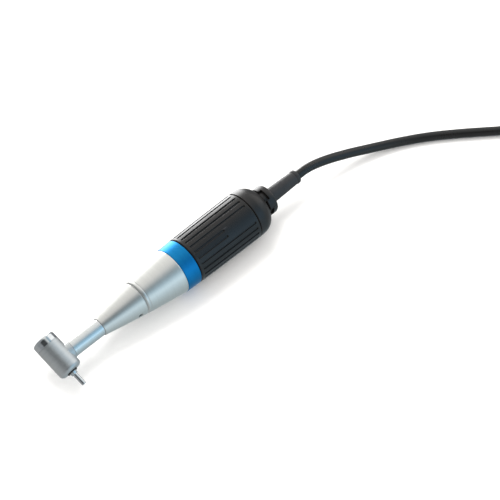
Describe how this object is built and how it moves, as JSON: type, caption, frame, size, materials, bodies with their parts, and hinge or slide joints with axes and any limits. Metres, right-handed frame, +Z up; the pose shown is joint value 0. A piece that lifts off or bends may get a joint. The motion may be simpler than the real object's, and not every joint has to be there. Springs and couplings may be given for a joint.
{
  "type": "endodontic motor handpiece",
  "caption": "Slim corded dental motor handpiece: fluted black grip, blue collar, tapering satin metal nose and an angle head with a chuck for shanked tools.",
  "frame": {"origin": "on the surface under the middle of the handpiece, without its cord", "axes": "+X along the handpiece from the head towards the cord, +Z up from the surface it lies on, the tool points towards -Y"},
  "size_m": [0.4283, 0.0788, 0.0265],
  "materials": {
    "satin_aluminium": "bead blasted and clear anodised",
    "satin_steel": "satin ground stainless steel",
    "polished_steel": "polished hardened steel",
    "dark_steel": "case hardened steel",
    "blue_anodised": "satin blue anodised",
    "black_plastic": "moulded, fine satin texture",
    "matte_black": "moulded, matte",
    "black_rubber": "moulded soft rubber and cord jacket",
    "brass": "turned brass",
    "copper": "enamelled copper wire",
    "board_green": "glass epoxy board",
    "ferrite": "laminated iron and sintered magnet",
    "insulator": "moulded insulator with pins"
  },
  "bodies": {
    "motor": {"grip_sleeve": "black_plastic", "rear_cap": "matte_black", "rear_seal": "black_rubber", "motor_can": "satin_steel", "front_bearing_carrier": "satin_aluminium", "front_bearing_outer_ring": "polished_steel", "front_bearing_caged_balls": "polished_steel", "rear_bearing_carrier": "satin_aluminium", "rear_bearing_outer_ring": "polished_steel", "rear_bearing_caged_balls": "polished_steel", "stator_stack": "ferrite", "front_winding": "copper", "rear_winding": "copper", "terminal_board": "board_green", "motor_nose": "satin_steel", "nose_seal": "black_rubber", "cable_nut": "matte_black", "strain_relief": "black_rubber", "cord_lead_in": "black_rubber", "cord_clamp": "satin_steel", "cord_run": "black_rubber", "cord_coil": "black_rubber", "coil_tie": "matte_black", "cord_tail": "black_rubber", "plug_strain_relief": "black_rubber", "plug_body": "matte_black", "plug_collar": "satin_steel", "plug_insert": "insulator"},
    "angle_head": {"colour_ring": "blue_anodised", "rear_cone": "satin_aluminium", "front_cone": "satin_aluminium", "lock_screw": "dark_steel", "neck_tube": "satin_aluminium", "socket_sleeve": "brass", "head_housing": "satin_steel", "head_cap": "polished_steel", "shaft_bearing_front": "polished_steel", "shaft_bearing_rear": "polished_steel", "spindle_bearing_upper": "polished_steel", "spindle_bearing_lower": "polished_steel", "bearing_washer": "satin_steel", "button_spring": "polished_steel"},
    "drivetrain": {"motor_shaft": "polished_steel", "rotor_magnet": "ferrite", "front_bearing_inner_ring": "polished_steel", "rear_bearing_inner_ring": "polished_steel", "motor_driver": "dark_steel", "drive_dog": "dark_steel", "drive_shaft": "polished_steel", "drive_pinion": "dark_steel"},
    "spindle": {"chuck_spindle": "polished_steel", "spindle_gear": "dark_steel"},
    "tool": {"tool": "polished_steel"},
    "push_button": {"push_button": "polished_steel"}
  },
  "joints": [
    {"name": "head_swivel", "type": "hinge", "parent": "motor", "child": "angle_head", "pos_m": [-0.0755, 0.00155, 0.01325], "axis": [1, 0, 0], "continuous": true},
    {"name": "rotor_spin", "type": "hinge", "parent": "angle_head", "child": "drivetrain", "pos_m": [-0.0755, 0.00155, 0.01325], "axis": [1, 0, 0], "continuous": true},
    {"name": "spindle_spin", "type": "hinge", "parent": "angle_head", "child": "spindle", "pos_m": [-0.0755, 0.00155, 0.01325], "axis": [0.061, -0.9379, -0.3414], "continuous": true},
    {"name": "tool_release", "type": "slide", "parent": "spindle", "child": "tool", "axis": [0.061, -0.9379, -0.3414], "range_m": [0, 0.014]},
    {"name": "button_press", "type": "slide", "parent": "angle_head", "child": "push_button", "axis": [0.061, -0.9379, -0.3414], "range_m": [0, 0.0009], "stiffness_N_per_m": 2000, "springref_m": -0.0005, "deforming": ["button_spring"]}
  ],
  "couplings": [
    {"joint": "spindle_spin", "follows": "rotor_spin", "ratio": 1}
  ]
}
